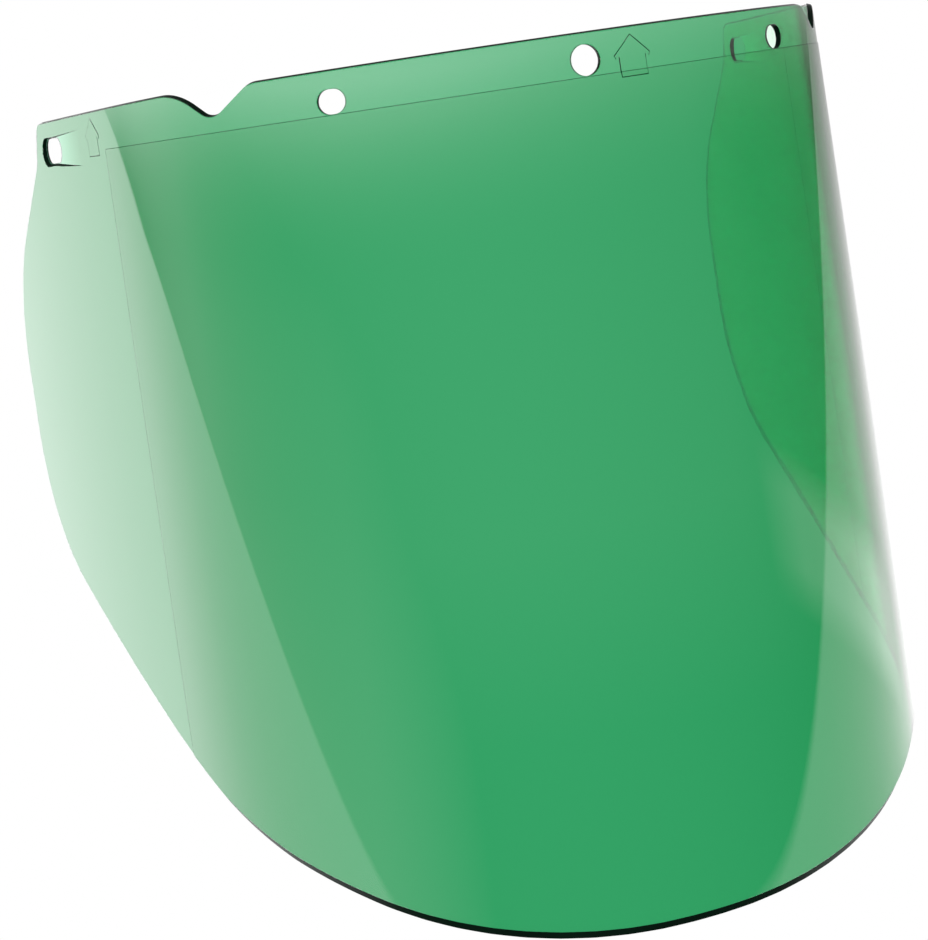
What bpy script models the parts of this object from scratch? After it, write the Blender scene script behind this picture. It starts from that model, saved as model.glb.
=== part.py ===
"""Replacement window of a face shield: one moulded sheet of green polycarbonate.

The window is drawn flat first, as a sheet with its outline, its slanted rim, its stud holes and
its two slots. Then it is bent round the face. Lengths are in millimetres until the last step.

Flat, a point is (along, depth, height): along runs round the face from the centre line, depth
runs into the sheet from its outer face, and height is measured from the centre stud hole.
Bent, the front faces -Y, the tails run back to +Y, and +Z is up.
"""

import math

import bmesh
import bpy
import numpy as np
from mathutils import Matrix, Vector

METRES_PER_MM = 0.001

# The sheet.
THICKNESS = 1.8
RAISED_ZONE_STEP = 0.17

# Corners of the right half of the inner face's edge, each (along, height, rounding radius),
# from the notch in the top edge round the tail to the bottom.
HALF_OUTLINE = (
    (88.8, 7.2, 8.0),
    (101.6, -0.7, 5.5),
    (113.6, 7.5, 22.0),
    (212.6, 6.4, 4.5),
    (217.4, -5.8, 5.0),
    (259.0, -44.4, 60.0),
    (259.0, -121.6, 58.0),
    (140.0, -191.6, 740.0),
    (44.3, -228.6, 215.0),
)

# The rim is square along the top and slants more and more towards the bottom, where the
# outer face ends above the inner face. RIM_LAND is what stays square behind the slant.
RIM_SLANT = 2.3
RIM_LAND = 0.3
RIM_SLANT_STARTS = -20.0
RIM_SLANT_FULL = -110.0

# Stud holes: a round one in the centre and a slightly wide one on each side of it.
CENTRE_HOLE_RADIUS = 3.95
SIDE_HOLE_ALONG = 66.3
SIDE_HOLE_HEIGHT = -0.86
SIDE_HOLE_WIDE = 7.4
SIDE_HOLE_TALL = 6.3

# The tail slots, each at the deep end of a ramp sunk in the outer face.
SLOT_FRONT = 193.8
SLOT_REAR = 208.6
SLOT_TOP = 1.2
SLOT_BOTTOM = -6.0
RAMP_START = 175.0
RAMP_START_TOP = 2.4
RAMP_START_BOTTOM = -7.8
RAMP_NARROW_FROM = 199.0
RAMP_DEPTH = 1.3
RAMP_CORNER = 0.3
RAMP_BEND = 40.0
RAMP_LEDGE = 0.15
RAMP_TOP_SPREAD = 1.0
RAMP_BOTTOM_SPREAD = 2.2

# The raised zone of the outer face, moulded slightly proud of the top strip and the tails.
ZONE_TOP = -4.2
ZONE_SIDE = 155.5

# Plan curve at the height of the centre hole: curvature per mm at distances from the centre.
CURVE_ALONG = (0.0, 74.9, 124.9, 161.2, 300.0)
CURVE_BEND = (0.00731, 0.010524, 0.010524, 0.00063, 0.00063)

# The window widens downwards as a cone would, about the line x = 0, y = CONE_Y.
CONE_Y = 95.92
CONE_RATE = 0.0002495

# How finely the curves are divided.
ARC_ERROR = 0.03
PLAN_STEP = 0.5
COLUMN_WIDTH = 4.0
OVERCUT = 2.0

GREEN = (0.06, 0.40, 0.16, 1.0)


# --- The plan curve and the bend ---------------------------------------------------------


def walk_plan_curve():
    """Distances from the centre line, and the x, y and heading of the right half there."""
    along = np.arange(0.0, CURVE_ALONG[-1] + PLAN_STEP, PLAN_STEP)
    bend = np.interp(along, CURVE_ALONG, CURVE_BEND)
    heading = np.concatenate([[0.0], np.cumsum((bend[1:] + bend[:-1]) / 2 * PLAN_STEP)])
    middle = (heading[1:] + heading[:-1]) / 2
    x = np.concatenate([[0.0], np.cumsum(np.cos(middle) * PLAN_STEP)])
    y = np.concatenate([[0.0], np.cumsum(np.sin(middle) * PLAN_STEP)])
    return along, x, y, heading


PLAN = walk_plan_curve()


def bent(point):
    """Where a point of the flat sheet goes when the sheet is bent round the face."""
    along, depth, height = point
    side = math.copysign(1.0, along)
    x, y, heading = (float(np.interp(abs(along), PLAN[0], values)) for values in PLAN[1:])
    widening = 1.0 - CONE_RATE * height
    x = x * widening - math.sin(heading) * depth
    y = CONE_Y + (y - CONE_Y) * widening + math.cos(heading) * depth
    return Vector((side * x, y, height))


# --- Lines in the flat -------------------------------------------------------------------


def arc_steps(radius, turn):
    """Number of chords that keep a curve of this radius and turn within ARC_ERROR."""
    return max(1, math.ceil(turn / (2 * math.acos(1 - ARC_ERROR / radius))))


def rounded(corners):
    """A closed line through corners (along, height, radius), each rounded by its radius."""
    places = [Vector((along, height)) for along, height, _ in corners]
    line = []
    for i, (place, (_, _, radius)) in enumerate(zip(places, corners)):
        back = (places[i - 1] - place).normalized()
        ahead = (places[(i + 1) % len(places)] - place).normalized()
        half_angle = back.angle(ahead) / 2
        centre = place + (back + ahead).normalized() * radius / math.sin(half_angle)
        spoke = place + back * radius / math.tan(half_angle) - centre
        turn = math.copysign(math.pi - 2 * half_angle, -back.cross(ahead))
        steps = arc_steps(radius, abs(turn))
        for step in range(steps + 1):
            line.append(centre + Matrix.Rotation(turn * step / steps, 2) @ spoke)
    return line


def mirrored_outline():
    """The whole outline, clockwise seen from the front, starting left of the top centre."""
    left = [(-along, height, radius) for along, height, radius in reversed(HALF_OUTLINE)]
    return rounded(left + list(HALF_OUTLINE))


def inset(line, width_at):
    """The line moved inwards at each point by width_at(height). The line runs clockwise."""
    moved = []
    for i, place in enumerate(line):
        tangent = (line[(i + 1) % len(line)] - line[i - 1]).normalized()
        inward = Vector((tangent.y, -tangent.x))
        moved.append(place + inward * width_at(place.y))
    return moved


def rim_slant(height):
    """How far the outer face's edge lies inside the inner face's edge at this height."""
    share = (RIM_SLANT_STARTS - height) / (RIM_SLANT_STARTS - RIM_SLANT_FULL)
    share = min(max(share, 0.0), 1.0)
    return RIM_SLANT * share * share * (3 - 2 * share)


def oblong(left, right, bottom, top):
    """A slot's outline, or a round hole's, with fully rounded ends."""
    radius = min(right - left, top - bottom) / 2
    almost = radius * 0.999
    corners = ((left, bottom), (left, top), (right, top), (right, bottom))
    return rounded([(along, height, almost) for along, height in corners])


# --- Solids in the flat ------------------------------------------------------------------


def loft(name, sections):
    """A closed solid through sections, each a list of (along, depth, height), front first."""
    mesh = bmesh.new()
    rings = [[mesh.verts.new(point) for point in section] for section in sections]
    mesh.faces.new(rings[0])
    mesh.faces.new(reversed(rings[-1]))
    for front, rear in zip(rings, rings[1:]):
        for i in range(len(front)):
            mesh.faces.new((front[i - 1], rear[i - 1], rear[i], front[i]))
    bmesh.ops.recalc_face_normals(mesh, faces=mesh.faces)
    data = bpy.data.meshes.new(name)
    mesh.to_mesh(data)
    mesh.free()
    solid = bpy.data.objects.new(name, data)
    bpy.context.scene.collection.objects.link(solid)
    return solid


def prism(name, line, front, rear):
    """A solid with this outline between two depths. Either depth may be a function of along."""

    def at(depth, place):
        return depth(place.x) if callable(depth) else depth

    sections = [[(p.x, at(depth, p), p.y) for p in line] for depth in (front, rear)]
    return loft(name, sections)


def blank_sheet():
    """The flat sheet with its slanted rim, before anything is cut out of it."""
    outer = mirrored_outline()
    front = inset(outer, rim_slant)
    sections = [
        [(p.x, 0.0, p.y) for p in front],
        [(p.x, THICKNESS - RIM_LAND, p.y) for p in outer],
        [(p.x, THICKNESS, p.y) for p in outer],
    ]
    return loft("visor_window", sections)


def stud_hole_cutters():
    """Cutters for the three round stud holes."""
    radius = CENTRE_HOLE_RADIUS
    lines = [oblong(-radius, radius, -radius, radius)]
    for side in (-1, 1):
        centre = side * SIDE_HOLE_ALONG
        left, right = centre - SIDE_HOLE_WIDE / 2, centre + SIDE_HOLE_WIDE / 2
        bottom = SIDE_HOLE_HEIGHT - SIDE_HOLE_TALL / 2
        lines.append(oblong(left, right, bottom, bottom + SIDE_HOLE_TALL))
    return [prism("stud_hole", line, -OVERCUT, THICKNESS + OVERCUT) for line in lines]


def ramp_floor(along):
    """Depth of the ramp's floor, which slopes from flush to RAMP_DEPTH."""
    return (abs(along) - RAMP_START) / (SLOT_REAR - RAMP_START) * RAMP_DEPTH


def ramp_spread(height):
    """How far the ramp's cutter widens towards its mouth, more below the slot than above it."""
    return -RAMP_BOTTOM_SPREAD if height < (SLOT_TOP + SLOT_BOTTOM) / 2 else -RAMP_TOP_SPREAD


def tail_slot_cutters():
    """Cutters for the two tail slots and the ramps that lead into them."""
    cutters = []
    top, bottom, rear = SLOT_TOP + RAMP_LEDGE, SLOT_BOTTOM - RAMP_LEDGE, SLOT_REAR + RAMP_LEDGE
    radius = (top - bottom) / 2 * 0.999
    for side in (-1, 1):
        ends = sorted((side * SLOT_FRONT, side * SLOT_REAR))
        slot = oblong(*ends, SLOT_BOTTOM, SLOT_TOP)
        cutters.append(prism("tail_slot", slot, -OVERCUT, THICKNESS + OVERCUT))
        corners = [
            (side * RAMP_START, RAMP_START_TOP, RAMP_CORNER),
            (side * RAMP_NARROW_FROM, top, RAMP_BEND),
            (side * rear, top, radius),
            (side * rear, bottom, radius),
            (side * RAMP_NARROW_FROM, bottom, RAMP_BEND),
            (side * RAMP_START, RAMP_START_BOTTOM, RAMP_CORNER),
        ]
        floor = rounded(corners)[::side]
        mouth = [(p.x, -OVERCUT, p.y) for p in inset(floor, ramp_spread)]
        cutters.append(loft("slot_ramp", [mouth, [(p.x, ramp_floor(p.x), p.y) for p in floor]]))
    return cutters


def low_zone_cutters():
    """Cutters that lower the outer face round the raised zone."""
    reach = HALF_OUTLINE[5][0] + OVERCUT
    top = HALF_OUTLINE[0][1] + OVERCUT
    bottom = HALF_OUTLINE[-1][1] - OVERCUT
    corners = (
        (-ZONE_SIDE, ZONE_TOP),
        (-ZONE_SIDE, bottom),
        (-reach, bottom),
        (-reach, top),
        (reach, top),
        (reach, bottom),
        (ZONE_SIDE, bottom),
        (ZONE_SIDE, ZONE_TOP),
    )
    frame = [Vector(corner) for corner in corners]
    return [prism("low_zone", frame, -OVERCUT, RAISED_ZONE_STEP)]


# --- Cutting, bending and finishing ------------------------------------------------------


def cut(solid, cutters):
    """Take the cutters out of the solid for good and remove them."""
    for cutter in cutters:
        difference = solid.modifiers.new(cutter.name, "BOOLEAN")
        difference.operation = "DIFFERENCE"
        difference.solver = "EXACT"
        difference.object = cutter
    evaluated = solid.evaluated_get(bpy.context.evaluated_depsgraph_get())
    cut_mesh = bpy.data.meshes.new_from_object(evaluated)
    solid.modifiers.clear()
    solid.data = cut_mesh
    for cutter in cutters:
        bpy.data.objects.remove(cutter)


def bend_round_face(solid):
    """Divide the flat solid into columns, bend it and change it to metres."""
    mesh = bmesh.new()
    mesh.from_mesh(solid.data)
    reach = HALF_OUTLINE[5][0]
    columns = math.ceil(reach / COLUMN_WIDTH)
    for column in range(-columns + 1, columns):
        everything = mesh.verts[:] + mesh.edges[:] + mesh.faces[:]
        place = (reach * column / columns, 0, 0)
        bmesh.ops.bisect_plane(mesh, geom=everything, dist=1e-5, plane_co=place, plane_no=(1, 0, 0))
    bmesh.ops.remove_doubles(mesh, verts=mesh.verts, dist=0.002)
    bmesh.ops.triangulate(mesh, faces=mesh.faces)
    for vert in mesh.verts:
        vert.co = bent(vert.co) * METRES_PER_MM
    bmesh.ops.recalc_face_normals(mesh, faces=mesh.faces)
    mesh.to_mesh(solid.data)
    mesh.free()
    solid.data.shade_smooth()
    solid.data.set_sharp_from_angle(angle=math.radians(25))


def green_polycarbonate():
    """The window's material: clear green plastic with a polished surface."""
    material = bpy.data.materials.new("green_polycarbonate")
    material.use_nodes = True
    shader = material.node_tree.nodes["Principled BSDF"]
    shader.inputs["Base Color"].default_value = GREEN
    shader.inputs["Metallic"].default_value = 0.0
    shader.inputs["Roughness"].default_value = 0.08
    shader.inputs["IOR"].default_value = 1.586
    shader.inputs["Transmission Weight"].default_value = 0.8
    return material


def main():
    for obj in list(bpy.data.objects):
        bpy.data.objects.remove(obj)
    window = blank_sheet()
    cut(window, low_zone_cutters() + stud_hole_cutters() + tail_slot_cutters())
    bend_round_face(window)
    window.data.materials.append(green_polycarbonate())


main()
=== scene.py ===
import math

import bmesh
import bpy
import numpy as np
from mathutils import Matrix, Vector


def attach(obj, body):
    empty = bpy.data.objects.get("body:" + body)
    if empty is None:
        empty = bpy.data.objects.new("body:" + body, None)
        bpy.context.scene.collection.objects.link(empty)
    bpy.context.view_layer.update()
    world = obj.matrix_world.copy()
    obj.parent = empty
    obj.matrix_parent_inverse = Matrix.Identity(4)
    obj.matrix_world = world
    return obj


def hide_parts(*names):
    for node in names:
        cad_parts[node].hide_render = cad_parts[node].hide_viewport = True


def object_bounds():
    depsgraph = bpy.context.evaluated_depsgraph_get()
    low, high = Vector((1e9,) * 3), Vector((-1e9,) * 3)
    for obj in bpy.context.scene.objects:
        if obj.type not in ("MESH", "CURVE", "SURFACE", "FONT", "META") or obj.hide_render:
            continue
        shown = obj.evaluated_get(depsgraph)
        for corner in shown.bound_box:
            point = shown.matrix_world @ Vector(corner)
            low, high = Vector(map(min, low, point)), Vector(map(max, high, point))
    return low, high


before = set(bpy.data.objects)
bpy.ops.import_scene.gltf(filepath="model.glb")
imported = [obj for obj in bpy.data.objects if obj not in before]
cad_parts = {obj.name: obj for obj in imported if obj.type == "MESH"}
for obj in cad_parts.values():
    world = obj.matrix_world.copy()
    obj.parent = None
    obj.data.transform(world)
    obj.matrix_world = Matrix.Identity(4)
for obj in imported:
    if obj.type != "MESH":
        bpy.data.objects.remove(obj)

# The looks of a face shield window: one moulded sheet of clear green polycarbonate.
#
# The window is drawn flat first, with its slanted and rounded rim, its stud holes, its ramped tail
# slots and the faint steps left by the mould. Then it is bent round the face. Lengths are in
# millimetres until the last step.
#
# Flat, a point is (along, depth, height): along runs round the face from the centre line, depth
# runs into the sheet from the outer face of its tails, and height is measured from the centre
# stud hole. Bent, the front faces -Y, the tails run back to +Y, and +Z is up.

CAD_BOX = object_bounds()
METRES_PER_MM = 0.001

# The sheet: its thickness in the tails, and what the raised zone adds on the outer face.
THICKNESS = 1.63
ZONE_RISE = 0.17

# Corners of the right half of the inner face's edge, each (along, height, rounding radius),
# from the notch in the top edge round the tail to the bottom.
HALF_OUTLINE = (
    (88.8, 7.2, 8.0),
    (101.6, -0.7, 5.5),
    (113.6, 7.5, 22.0),
    (212.6, 6.4, 4.5),
    (217.4, -5.8, 5.0),
    (259.0, -44.4, 60.0),
    (259.0, -121.6, 58.0),
    (140.0, -191.6, 740.0),
    (44.3, -228.6, 215.0),
)

# The rim leans a little along the top and slants more and more towards the bottom, where the
# outer face ends well above the inner face. Both its edges are slightly rounded.
RIM_DRAFT = 0.45
RIM_SLANT = 2.3
RIM_SLANT_STARTS = -20.0
RIM_SLANT_FULL = -110.0
EDGE_ROUND = 0.2
EDGE_ROUND_STEPS = 4

# Stud holes: a round one in the centre and a slightly wide one on each side of it.
CENTRE_HOLE_RADIUS = 3.95
SIDE_HOLE_ALONG = 66.3
SIDE_HOLE_HEIGHT = -0.86
SIDE_HOLE_WIDE = 7.4
SIDE_HOLE_TALL = 6.3

# The tail slots, each at the deep end of a ramp sunk in the outer face.
SLOT_FRONT = 193.8
SLOT_REAR = 208.6
SLOT_TOP = 1.2
SLOT_BOTTOM = -6.0
RAMP_START = 175.0
RAMP_START_TOP = 2.4
RAMP_START_BOTTOM = -7.8
RAMP_NARROW_FROM = 199.0
RAMP_DEPTH = 1.13
RAMP_CORNER = 0.3
RAMP_BEND = 40.0
RAMP_LEDGE = 0.15
RAMP_TOP_SPREAD = 1.0
RAMP_BOTTOM_SPREAD = 2.2

# The raised zone of the outer face, and how wide the sloping step round it is.
ZONE_TOP = -4.2
ZONE_SIDE = 155.5
ZONE_TOP_STEP = 0.12
ZONE_SIDE_STEP = 0.6

# Moulded arrows, which show the way up: a low plateau with a barbed head.
ARROWS_ALONG = (-164.4, 13.2, 164.4)
ARROW_TIP = 4.75
ARROW_HEAD = 4.9
ARROW_TALL = 10.25
ARROW_HEAD_WIDE = 10.3
ARROW_BODY_WIDE = 7.55
ARROW_BARB = 0.35
ARROW_RISE = 0.05
ARROW_DRAFT = 0.26

# Plan curve at the height of the centre hole: curvature per mm at distances from the centre.
CURVE_ALONG = (0.0, 74.9, 124.9, 161.2, 300.0)
CURVE_BEND = (0.00731, 0.010524, 0.010524, 0.00063, 0.00063)

# The window widens downwards as a cone would, about the line x = 0, y = CONE_Y.
CONE_Y = 95.92
CONE_RATE = 0.0002495

# How finely the curves are divided.
PLAN_STEP = 0.25
COLUMN_WIDTH = 1.5
ARC_TURN = math.radians(2.5)
SHARP_ANGLE = math.radians(24)
OVERCUT = 2.0
CUT_TOLERANCE = 0.0001
MERGE_DISTANCE = 0.001
SMALLEST_EDGE = 0.0005

# An oblong's corner radius, as a share of half its width, which keeps its corners apart.
ALMOST_ROUND = 0.999

# How squarely a face of the flat sheet looks forward or back: flush faces do, ramp floors nearly.
FLUSH = 0.9999
RAMP_FLOOR = 0.998

# A ramp floor's shading leans this many times its own slope.
RAMP_SHADING = 1.2

# Polycarbonate bends light this much, and the dye in it absorbs light by colour and per metre.
CLEAR_IOR = 1.586
CLEAR_TINT = (0.02, 0.71, 0.415, 1.0)
CLEAR_TINT_DENSITY = 1760.0

# Material slots on the window: the clear faces, and the cut edges, painted near black as the shade
# where light is held inside the sheet.
CLEAR = 0
EDGE = 1

# The camera, in metres and degrees: heading is turned from +Y towards +X.
CAMERA_PLACE = (-0.2247, -0.5262, -0.0047)
CAMERA_HEADING = 18.52
CAMERA_TILT = -9.41
CAMERA_ROLL = -8.54
CAMERA_LENS = 86.25
SENSOR_WIDE = 36.0

# Light panels as reflections see them: the normals of their slanting edge, which is slightly
# bowed, and of their end nearest the camera, and their brightness, where the background's is 1.
LEFT_PANEL_EDGE = (-0.174, -0.139, 1.0)
LEFT_PANEL_BOW = 1.06
LEFT_PANEL_SIDE = (-0.5, 0.866, 0.0)
LEFT_PANEL = 2.25
RIGHT_PANEL_EDGE = (0.128, -0.223, 1.0)
RIGHT_PANEL_BOW = 0.78
RIGHT_PANEL_SIDE = (0.819, 0.574, 0.0)
RIGHT_PANEL_TOP = 0.85
RIGHT_PANEL_LOW = 1.8
BEHIND_PANEL = 3.7

# How softly a panel's slanting edge and its near end fade, and the height that it ends at below.
PANEL_EDGE_FADE = (0.003, -0.003)
PANEL_SIDE_FADE = (-0.02, 0.05)
PANEL_FOOT = (-0.78, -0.76)

FLOOR_GAP = 0.0005
FLOOR_RADIUS = 6.0


# --- The plan curve and the bend ---------------------------------------------------------


def walk_plan_curve():
    """Distances from the centre line, and the x, y and heading of the right half there."""
    along = np.arange(0.0, CURVE_ALONG[-1] + PLAN_STEP, PLAN_STEP)
    bend = np.interp(along, CURVE_ALONG, CURVE_BEND)
    heading = np.concatenate([[0.0], np.cumsum((bend[1:] + bend[:-1]) / 2 * PLAN_STEP)])
    middle = (heading[1:] + heading[:-1]) / 2
    x = np.concatenate([[0.0], np.cumsum(np.cos(middle) * PLAN_STEP)])
    y = np.concatenate([[0.0], np.cumsum(np.sin(middle) * PLAN_STEP)])
    return along, x, y, heading


PLAN = walk_plan_curve()


def plan_at(along):
    """Side, x, y and heading of the plan curve at a signed distance from the centre line."""
    side = math.copysign(1.0, along)
    x, y, heading = (float(np.interp(abs(along), PLAN[0], values)) for values in PLAN[1:])
    return side, x, y, heading


def zone_share(along, height):
    """1 in the raised zone, 0 outside it, and in between on the step round it."""
    from_top = (ZONE_TOP - height) / ZONE_TOP_STEP + 0.5
    from_side = (ZONE_SIDE - abs(along)) / ZONE_SIDE_STEP + 0.5
    return min(max(min(from_top, from_side), 0.0), 1.0)


def bent(point):
    """Where a point of the flat sheet goes when the sheet is bent round the face."""
    along, depth, height = point
    side, x, y, heading = plan_at(along)
    outer_share = 1.0 - min(max(depth / THICKNESS, 0.0), 1.0)
    depth = depth + ZONE_RISE * (1.0 - zone_share(along, height) * outer_share)
    widening = 1.0 - CONE_RATE * height
    x = x * widening - math.sin(heading) * depth
    y = CONE_Y + (y - CONE_Y) * widening + math.cos(heading) * depth
    return Vector((side * x, y, height))


def outward(along):
    """The outer face's normal at this distance from the centre line."""
    side, x, y, heading = plan_at(along)
    rise = -CONE_RATE * (math.cos(heading) * (y - CONE_Y) - math.sin(heading) * x)
    return Vector((side * math.sin(heading), -math.cos(heading), rise)).normalized()


# --- Lines in the flat -------------------------------------------------------------------


def rounded(corners):
    """A closed line through corners (along, height, radius), each rounded by its radius."""
    places = [Vector((along, height)) for along, height, _ in corners]
    line = []
    for i, (place, (_, _, radius)) in enumerate(zip(places, corners)):
        back = (places[i - 1] - place).normalized()
        ahead = (places[(i + 1) % len(places)] - place).normalized()
        half_angle = back.angle(ahead) / 2
        centre = place + (back + ahead).normalized() * radius / math.sin(half_angle)
        spoke = place + back * radius / math.tan(half_angle) - centre
        turn = math.copysign(math.pi - 2 * half_angle, -back.cross(ahead))
        steps = max(1, math.ceil(abs(turn) / ARC_TURN))
        for step in range(steps + 1):
            line.append(centre + Matrix.Rotation(turn * step / steps, 2) @ spoke)
    return line


def inset(line, width_at):
    """The line moved inwards at each point by width_at(height). The line runs clockwise."""
    moved = []
    for i, place in enumerate(line):
        tangent = (line[(i + 1) % len(line)] - line[i - 1]).normalized()
        inward = Vector((tangent.y, -tangent.x))
        moved.append(place + inward * width_at(place.y))
    return moved


def mirrored_outline():
    """The whole outline, clockwise seen from the front, starting left of the top centre."""
    left = [(-along, height, radius) for along, height, radius in reversed(HALF_OUTLINE)]
    return rounded(left + list(HALF_OUTLINE))


def rim_slant(height):
    """How far the outer face's edge lies inside the inner face's edge at this height."""
    share = (RIM_SLANT_STARTS - height) / (RIM_SLANT_STARTS - RIM_SLANT_FULL)
    share = min(max(share, 0.0), 1.0)
    return RIM_DRAFT + (RIM_SLANT - RIM_DRAFT) * share * share * (3 - 2 * share)


def oblong(left, right, bottom, top):
    """A slot's outline, or a round hole's, with fully rounded ends. It runs clockwise."""
    radius = min(right - left, top - bottom) / 2 * ALMOST_ROUND
    corners = ((left, bottom), (left, top), (right, top), (right, bottom))
    return rounded([(along, height, radius) for along, height in corners])


def arrow_outline(along):
    """An arrow pointing up, clockwise, with its tip above this distance from the centre."""
    half_head, half_body = ARROW_HEAD_WIDE / 2, ARROW_BODY_WIDE / 2
    barb = ARROW_TIP - ARROW_HEAD
    half = (
        (half_head, barb),
        (half_head - ARROW_BARB, barb - 2 * ARROW_BARB),
        (half_body, barb - ARROW_BARB),
        (half_body, ARROW_TIP - ARROW_TALL),
    )
    right = [Vector((along + x, z)) for x, z in half]
    left = [Vector((along - x, z)) for x, z in reversed(half)]
    return [Vector((along, ARROW_TIP))] + right + left


# --- Materials ---------------------------------------------------------------------------


def new_material(name):
    """A node material, its tree and its Principled shader."""
    material = bpy.data.materials.new(name)
    material.use_nodes = True
    tree = material.node_tree
    return material, tree, tree.nodes["Principled BSDF"]


def node(tree, kind, **values):
    """A new node with its properties, or its inputs by name, set to plain values."""
    made = tree.nodes.new(kind)
    for name, value in values.items():
        if name in made.inputs:
            made.inputs[name].default_value = value
        else:
            setattr(made, name, value)
    return made


def noise(tree, scale, detail=2.0, stretch=(1, 1, 1)):
    """A noise pattern fixed to the object, stretched along its axes. Returns its value."""
    place = node(tree, "ShaderNodeTexCoord")
    mapping = node(tree, "ShaderNodeMapping")
    mapping.inputs["Scale"].default_value = stretch
    pattern = node(tree, "ShaderNodeTexNoise", Scale=scale, Detail=detail)
    tree.links.new(place.outputs["Object"], mapping.inputs["Vector"])
    tree.links.new(mapping.outputs["Vector"], pattern.inputs["Vector"])
    return pattern.outputs["Fac"]


def mapped(tree, value, low, high, to_low, to_high):
    """A value remapped from one range to another, held at its ends."""
    ramp = node(tree, "ShaderNodeMapRange")
    names = ("From Min", "From Max", "To Min", "To Max")
    for name, number in zip(names, (low, high, to_low, to_high)):
        ramp.inputs[name].default_value = number
    tree.links.new(value, ramp.inputs["Value"])
    return ramp.outputs["Result"]


def clear_green():
    """Polished green polycarbonate: the colour is in its depth, so thick ways look darker."""
    material, tree, shader = new_material("green_polycarbonate")
    shader.inputs["Base Color"].default_value = (0.93, 1.0, 0.96, 1.0)
    shader.inputs["IOR"].default_value = CLEAR_IOR
    shader.inputs["Transmission Weight"].default_value = 1.0
    tint = node(tree, "ShaderNodeVolumeAbsorption")
    tint.inputs["Color"].default_value = CLEAR_TINT
    tint.inputs["Density"].default_value = CLEAR_TINT_DENSITY
    tree.links.new(tint.outputs["Volume"], tree.nodes["Material Output"].inputs["Volume"])
    haze = mapped(tree, noise(tree, 35.0, 4.0), 0.35, 0.7, 0.0, 0.008)
    tree.links.new(haze, shader.inputs["Roughness"])
    bump = node(tree, "ShaderNodeBump", Strength=0.006, Distance=0.001)
    tree.links.new(noise(tree, 20.0, 1.0, (1, 1, 0.25)), bump.inputs["Height"])
    tree.links.new(bump.outputs["Normal"], shader.inputs["Normal"])
    return material


def edge_painted_shade():
    """Painted shade for the sheet's cut edges, standing in for light held inside: near black with
    a green cast.
    """
    material, tree, shader = new_material("green_polycarbonate_edge_painted_shade")
    shader.inputs["IOR"].default_value = 1.45
    shader.inputs["Roughness"].default_value = 0.3
    shader.inputs["Specular IOR Level"].default_value = 0.02
    ramp = node(tree, "ShaderNodeValToRGB")
    ramp.color_ramp.elements[0].color = (0.0015, 0.004, 0.003, 1.0)
    ramp.color_ramp.elements[1].color = (0.003, 0.014, 0.007, 1.0)
    tree.links.new(noise(tree, 60.0, 3.0), ramp.inputs["Fac"])
    tree.links.new(ramp.outputs["Color"], shader.inputs["Base Color"])
    return material


WINDOW_MATERIALS = (clear_green(), edge_painted_shade())


# --- Solids in the flat ------------------------------------------------------------------


def loft(name, sections, slots):
    """A closed solid through sections, each (line, depth), front first.

    A depth may be a function of along. slots holds the material slot of each ring of faces
    between two sections. The front and rear faces are CLEAR.
    """
    mesh = bmesh.new()
    rings = []
    for line, depth in sections:
        at = depth if callable(depth) else lambda along, same=depth: same
        rings.append([mesh.verts.new((p.x, at(p.x), p.y)) for p in line])
    mesh.faces.new(rings[0]).material_index = CLEAR
    mesh.faces.new(reversed(rings[-1])).material_index = CLEAR
    for front, rear, slot in zip(rings, rings[1:], slots):
        for i in range(len(front)):
            face = mesh.faces.new((front[i - 1], rear[i - 1], rear[i], front[i]))
            face.material_index = slot
    bmesh.ops.recalc_face_normals(mesh, faces=mesh.faces)
    data = bpy.data.meshes.new(name)
    for material in WINDOW_MATERIALS:
        data.materials.append(material)
    mesh.to_mesh(data)
    mesh.free()
    solid = bpy.data.objects.new(name, data)
    bpy.context.scene.collection.objects.link(solid)
    return solid


def quarter_round():
    """Points (inset, depth) down a rounded edge, from the face to the wall."""
    turns = [math.pi / 2 * step / EDGE_ROUND_STEPS for step in range(EDGE_ROUND_STEPS + 1)]
    return [(EDGE_ROUND * (1 - math.sin(t)), EDGE_ROUND * (1 - math.cos(t))) for t in turns]


def blank_sheet():
    """The flat sheet with its slanted, rounded rim, before anything is cut out of it."""
    outer = mirrored_outline()
    sections = []
    for width, depth in quarter_round():
        sections.append((inset(outer, lambda height, w=width: rim_slant(height) + w), depth))
    for width, depth in reversed(quarter_round()):
        sections.append((inset(outer, lambda height, w=width: w), THICKNESS - depth))
    rounding = [CLEAR] * EDGE_ROUND_STEPS
    return loft("visor_window_sheet", sections, rounding + [EDGE] + rounding)


def hole_cutter(line):
    """A cutter for a hole right through the sheet, whose edges are left slightly rounded."""
    flare = quarter_round()[1:]
    grown = [(inset(line, lambda height, w=width: -w), depth) for width, depth in flare]
    mouth = inset(line, lambda height: -EDGE_ROUND - OVERCUT)
    sections = [(mouth, -OVERCUT)] + grown
    sections += [(ring, THICKNESS - depth) for ring, depth in reversed(grown)]
    sections += [(mouth, THICKNESS + OVERCUT)]
    rounding = [CLEAR] * EDGE_ROUND_STEPS
    return loft("hole", sections, rounding + [EDGE] + rounding)


def stud_hole_cutters():
    """Cutters for the three stud holes."""
    radius = CENTRE_HOLE_RADIUS
    lines = [oblong(-radius, radius, -radius, radius)]
    for side in (-1, 1):
        centre = side * SIDE_HOLE_ALONG
        left, right = centre - SIDE_HOLE_WIDE / 2, centre + SIDE_HOLE_WIDE / 2
        bottom = SIDE_HOLE_HEIGHT - SIDE_HOLE_TALL / 2
        lines.append(oblong(left, right, bottom, bottom + SIDE_HOLE_TALL))
    return [hole_cutter(line) for line in lines]


def ramp_floor(along):
    """Depth of the ramp's floor, which slopes from flush to RAMP_DEPTH."""
    return (abs(along) - RAMP_START) / (SLOT_REAR - RAMP_START) * RAMP_DEPTH


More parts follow.
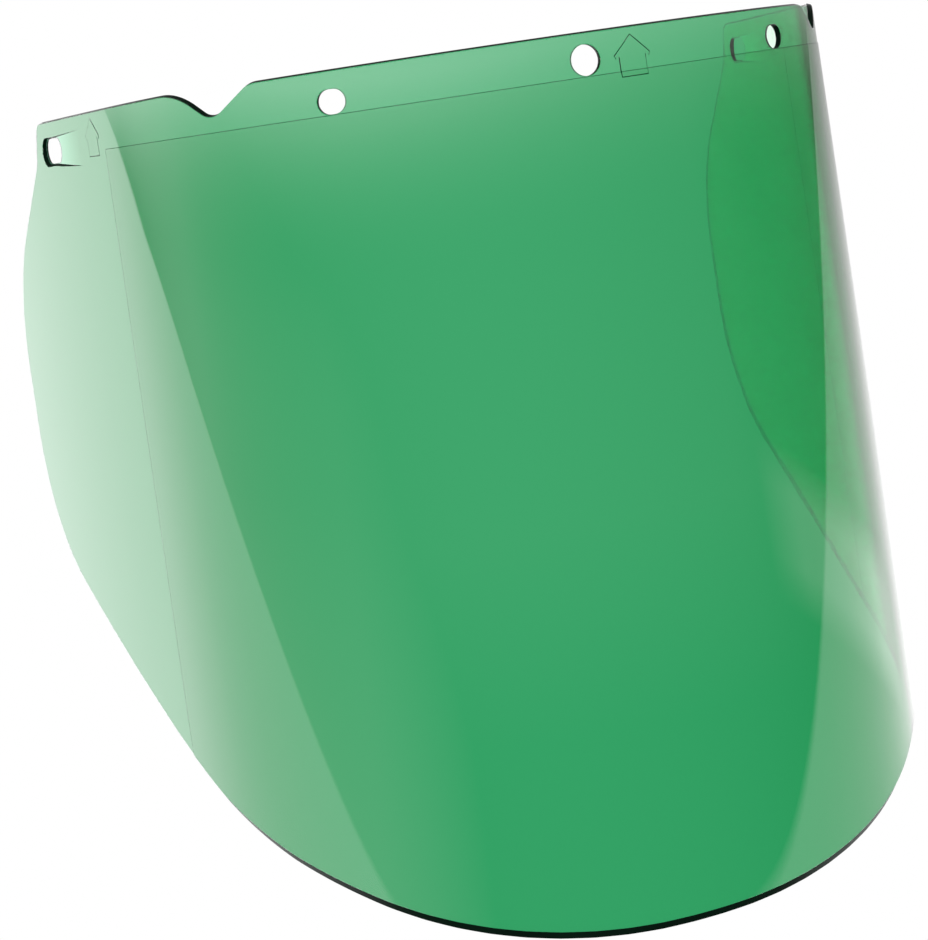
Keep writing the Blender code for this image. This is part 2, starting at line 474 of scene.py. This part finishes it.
def ramp_spread(height):
    """How far the ramp's cutter widens towards its mouth, more below the slot than above it."""
    return -RAMP_BOTTOM_SPREAD if height < (SLOT_TOP + SLOT_BOTTOM) / 2 else -RAMP_TOP_SPREAD


def tail_slot_cutters():
    """Cutters for the two tail slots and the ramps that lead into them."""
    cutters = []
    top, bottom, rear = SLOT_TOP + RAMP_LEDGE, SLOT_BOTTOM - RAMP_LEDGE, SLOT_REAR + RAMP_LEDGE
    radius = (top - bottom) / 2 * ALMOST_ROUND
    corners = [
        (RAMP_START, RAMP_START_BOTTOM, RAMP_CORNER),
        (RAMP_START, RAMP_START_TOP, RAMP_CORNER),
        (RAMP_NARROW_FROM, top, RAMP_BEND),
        (rear, top, radius),
        (rear, bottom, radius),
        (RAMP_NARROW_FROM, bottom, RAMP_BEND),
    ]
    for side in (-1, 1):
        ends = sorted((side * SLOT_FRONT, side * SLOT_REAR))
        cutters.append(hole_cutter(oblong(*ends, SLOT_BOTTOM, SLOT_TOP)))
        line = rounded([(side * along, height, round_by) for along, height, round_by in corners])
        line = line[::side]  # keeps the mirrored line clockwise
        mouth = inset(line, ramp_spread)
        cutters.append(loft("ramp", [(mouth, -OVERCUT), (line, ramp_floor)], [EDGE]))
    return cutters


def arrow_plateaus():
    """The low plateaus of the moulded arrows, with sloping sides."""
    plateaus = []
    for along in ARROWS_ALONG:
        line = arrow_outline(along)
        spread = ARROW_DRAFT / ARROW_RISE * (ARROW_RISE + EDGE_ROUND)
        foot = inset(line, lambda height: -spread)
        sections = [(line, -ARROW_RISE), (foot, EDGE_ROUND)]
        plateaus.append(loft("arrow", sections, [EDGE]))
    return plateaus


# --- Cutting, bending and finishing ------------------------------------------------------


def combine(solid, others, operation):
    """Cut the others out of the solid, or add them to it, for good, and remove them."""
    for other in others:
        step = solid.modifiers.new(other.name, "BOOLEAN")
        step.operation = operation
        step.solver = "EXACT"
        step.object = other
    evaluated = solid.evaluated_get(bpy.context.evaluated_depsgraph_get())
    result = bpy.data.meshes.new_from_object(evaluated)
    solid.modifiers.clear()
    solid.data = result
    for other in others:
        bpy.data.objects.remove(other)


def divide(mesh):
    """Cut the flat sheet into narrow columns, and along both edges of the zone's step."""
    reach = max(along for along, _, _ in HALF_OUTLINE)
    columns = math.ceil(reach / COLUMN_WIDTH)
    across = [reach * column / columns for column in range(-columns + 1, columns)]
    for half_step in (-ZONE_SIDE_STEP / 2, ZONE_SIDE_STEP / 2):
        across += [ZONE_SIDE + half_step, -ZONE_SIDE - half_step]
    planes = [((place, 0, 0), (1, 0, 0)) for place in across]
    for half_step in (-ZONE_TOP_STEP / 2, ZONE_TOP_STEP / 2):
        planes.append(((0, 0, ZONE_TOP + half_step), (0, 0, 1)))
    for place, normal in planes:
        everything = mesh.verts[:] + mesh.edges[:] + mesh.faces[:]
        bmesh.ops.bisect_plane(
            mesh, geom=everything, dist=CUT_TOLERANCE, plane_co=place, plane_no=normal
        )
    bmesh.ops.remove_doubles(mesh, verts=mesh.verts, dist=MERGE_DISTANCE)
    bmesh.ops.dissolve_degenerate(mesh, edges=mesh.edges, dist=SMALLEST_EDGE)
    bmesh.ops.triangulate(mesh, faces=mesh.faces)


def facing(face):
    """-1 on the outer face of the flat sheet, 1 on the inner face, and 0 on anything else."""
    return int(face.normal.y > FLUSH) - int(face.normal.y < -FLUSH)


def on_ramp(face):
    """True on the sloping floor of a tail slot's ramp."""
    sloping = -FLUSH <= face.normal.y < -RAMP_FLOOR
    return sloping and abs(face.calc_center_median().x) > RAMP_START


def ramp_normal(along):
    """The shading normal of a ramp's floor, from flush at its start to past its own slope."""
    side, _, _, heading = plan_at(along)
    rearward = Vector((side * math.cos(heading), math.sin(heading), 0))
    share = (abs(along) - RAMP_START) / (SLOT_FRONT - RAMP_START)
    slope = RAMP_SHADING * RAMP_DEPTH / (SLOT_REAR - RAMP_START) * min(max(share, 0.0), 1.0)
    return (outward(along) + rearward * slope).normalized()


def on_step(face):
    """True on the narrow step round the raised zone."""
    centre = face.calc_center_median()
    return 0.01 < zone_share(centre.x, centre.z) < 0.99


def bend_round_face(solid):
    """Divide the flat solid, bend it, change it to metres, and give it smooth normals."""
    mesh = bmesh.new()
    mesh.from_mesh(solid.data)
    divide(mesh)
    mesh.normal_update()
    mesh.faces.ensure_lookup_table()
    sides = [facing(face) for face in mesh.faces]
    # The narrow step round the raised zone gets the same painted near-black shade as the cut
    # edges.
    for face, side in zip(mesh.faces, sides):
        if side == -1 and on_step(face):
            face.material_index = EDGE
    ramps = [on_ramp(face) for face in mesh.faces]
    flat_along = [vert.co.x for vert in mesh.verts]
    for vert in mesh.verts:
        vert.co = bent(vert.co) * METRES_PER_MM
    mesh.to_mesh(solid.data)
    mesh.free()
    data = solid.data
    data.shade_smooth()
    data.set_sharp_from_angle(angle=SHARP_ANGLE)
    normals = [Vector(corner.vector) for corner in data.corner_normals]
    for polygon, side, ramp in zip(data.polygons, sides, ramps):
        if polygon.material_index == EDGE or not (side or ramp):
            continue
        for loop in polygon.loop_indices:
            along = flat_along[data.loops[loop].vertex_index]
            normals[loop] = ramp_normal(along) if ramp else -side * outward(along)
    data.normals_split_custom_set(normals)


# --- The piece and its surroundings ------------------------------------------------------


def visor_window():
    """The window, bent and finished, riding where the CAD node was."""
    window = blank_sheet()
    combine(window, stud_hole_cutters() + tail_slot_cutters(), "DIFFERENCE")
    combine(window, arrow_plateaus(), "UNION")
    bend_round_face(window)
    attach(window, "root")
    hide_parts("visor_window")


def floor():
    """A plain white floor just under the window. Reflections look past it."""
    bpy.ops.mesh.primitive_circle_add(vertices=96, radius=FLOOR_RADIUS, fill_type="NGON")
    disc = bpy.context.object
    disc.name = "floor"
    disc.location.z = CAD_BOX[0][2] - FLOOR_GAP
    material, tree, shader = new_material("floor_white")
    tree.nodes.remove(shader)
    glow = node(tree, "ShaderNodeEmission", Strength=1.0)
    tree.links.new(glow.outputs["Emission"], tree.nodes["Material Output"].inputs["Surface"])
    disc.data.materials.append(material)
    disc.visible_glossy = False
    disc.visible_shadow = False


def camera():
    """The camera, made the scene's own."""
    data = bpy.data.cameras.new("camera")
    data.sensor_fit = "HORIZONTAL"
    data.sensor_width = SENSOR_WIDE
    data.lens = CAMERA_LENS
    data.clip_start = 0.01
    made = bpy.data.objects.new("camera", data)
    bpy.context.scene.collection.objects.link(made)
    turn = Matrix.Rotation(math.radians(-CAMERA_HEADING), 4, "Z")
    tilt = Matrix.Rotation(math.radians(90 + CAMERA_TILT), 4, "X")
    roll = Matrix.Rotation(math.radians(CAMERA_ROLL), 4, "Z")
    made.matrix_world = Matrix.Translation(CAMERA_PLACE) @ turn @ tilt @ roll
    bpy.context.scene.camera = made


def direction_dot(tree, direction, normal):
    """How far a light direction leans towards a normal."""
    dot = node(tree, "ShaderNodeVectorMath", operation="DOT_PRODUCT")
    dot.inputs[1].default_value = normal
    tree.links.new(direction, dot.inputs[0])
    return dot.outputs["Value"]


def math_node(tree, operation, *values):
    """A Math node on numbers and on other nodes' outputs."""
    made = node(tree, "ShaderNodeMath", operation=operation)
    for socket, value in zip(made.inputs, values):
        if isinstance(value, (int, float)):
            socket.default_value = value
        else:
            tree.links.new(value, socket)
    return made.outputs["Value"]


def product(tree, first, *others):
    """The product of numbers and other nodes' outputs."""
    for other in others:
        first = math_node(tree, "MULTIPLY", first, other)
    return first


def reflected_light(tree):
    """How bright the studio is in a reflection, by direction: panels and soft glows on black."""
    direction = node(tree, "ShaderNodeTexCoord").outputs["Generated"]
    height = direction_dot(tree, direction, (0, 0, 1))
    leftward = direction_dot(tree, direction, (-1, 0, 0))
    backward = direction_dot(tree, direction, (0, 1, 0))
    bow = math_node(tree, "MULTIPLY", height, height)
    left_edge = direction_dot(tree, direction, LEFT_PANEL_EDGE)
    left_edge = math_node(tree, "MULTIPLY_ADD", bow, LEFT_PANEL_BOW, left_edge)
    straighter = mapped(tree, height, -0.015, 0.085, 0.0, -0.035)
    left_edge = math_node(tree, "ADD", left_edge, straighter)
    right_edge = direction_dot(tree, direction, RIGHT_PANEL_EDGE)
    right_edge = math_node(tree, "MULTIPLY_ADD", bow, RIGHT_PANEL_BOW, right_edge)

    # Each panel lies below a slanting edge and ends well above the floor underneath.
    left = product(
        tree,
        mapped(tree, left_edge, *PANEL_EDGE_FADE, 0.0, 1.0),
        mapped(tree, direction_dot(tree, direction, LEFT_PANEL_SIDE), *PANEL_SIDE_FADE, 0.0, 1.0),
        mapped(tree, leftward, -0.15, 0.05, 0.0, 1.0),
        mapped(tree, backward, 0.93, 0.965, LEFT_PANEL, BEHIND_PANEL),
    )
    right = product(
        tree,
        mapped(tree, right_edge, *PANEL_EDGE_FADE, 0.0, 1.0),
        mapped(tree, direction_dot(tree, direction, RIGHT_PANEL_SIDE), *PANEL_SIDE_FADE, 0.0, 1.0),
        mapped(tree, height, 0.0, -0.28, RIGHT_PANEL_TOP, RIGHT_PANEL_LOW),
        mapped(tree, right_edge, -0.02, -0.2, 0.8, 1.05),
        mapped(tree, backward, 0.66, 0.9, 1.0, 0.7),
    )
    panels = math_node(tree, "MAXIMUM", left, right)
    panels = product(tree, panels, mapped(tree, height, *PANEL_FOOT, 0.0, 1.0))

    # Soft glows: beside the left panel, across the right one, in front, and overhead.
    left_glow = product(
        tree,
        mapped(tree, left_edge, 0.0, 0.24, 1.15, 0.0),
        mapped(tree, leftward, 0.55, 0.9, 0.0, 1.0),
        mapped(tree, height, -0.12, 0.0, 0.9, 1.4),
    )
    lean = math_node(tree, "MULTIPLY_ADD", backward, 0.075, height)
    right_band = product(
        tree,
        mapped(tree, lean, -0.244, -0.222, 0.0, 0.85),
        mapped(tree, lean, -0.19, -0.168, 1.0, 0.0),
        mapped(tree, leftward, -0.82, -0.92, 0.0, 1.0),
    )
    front_glow = product(
        tree,
        mapped(tree, height, -0.24, -0.15, 0.0, 0.28),
        mapped(tree, leftward, -0.95, -0.75, 0.55, 1.0),
    )
    overhead = product(
        tree,
        math_node(tree, "POWER", mapped(tree, height, -0.035, 0.062, 0.0, 1.0), 3.0),
        mapped(tree, leftward, -0.67, 0.75, 1.7, 3.2),
        mapped(tree, height, 0.12, 0.25, 1.0, 0.1),
    )
    glow = math_node(tree, "ADD", math_node(tree, "MAXIMUM", left_glow, front_glow), overhead)
    return math_node(tree, "ADD", math_node(tree, "MAXIMUM", panels, glow), right_band)


def studio_light():
    """White all round, except that reflections see panels and soft glows on black."""
    world = bpy.data.worlds.new("studio")
    bpy.context.scene.world = world
    world.use_nodes = True
    tree = world.node_tree
    tree.nodes.clear()
    reflected = reflected_light(tree)

    # Reflected light sees the panels. Everything else sees a plain white room.
    path = node(tree, "ShaderNodeLightPath")
    not_through = math_node(tree, "SUBTRACT", 1.0, path.outputs["Is Transmission Ray"])
    mirrored = math_node(tree, "MULTIPLY", path.outputs["Is Glossy Ray"], not_through)
    strength = node(tree, "ShaderNodeMix", data_type="FLOAT")
    strength.inputs["A"].default_value = 1.0
    tree.links.new(mirrored, strength.inputs["Factor"])
    tree.links.new(reflected, strength.inputs["B"])
    background = node(tree, "ShaderNodeBackground", Color=(1, 1, 1, 1))
    tree.links.new(strength.outputs["Result"], background.inputs["Strength"])
    output = node(tree, "ShaderNodeOutputWorld")
    tree.links.new(background.outputs["Background"], output.inputs["Surface"])


camera()
studio_light()
floor()
visor_window()
bpy.context.scene.view_settings.view_transform = "Standard"
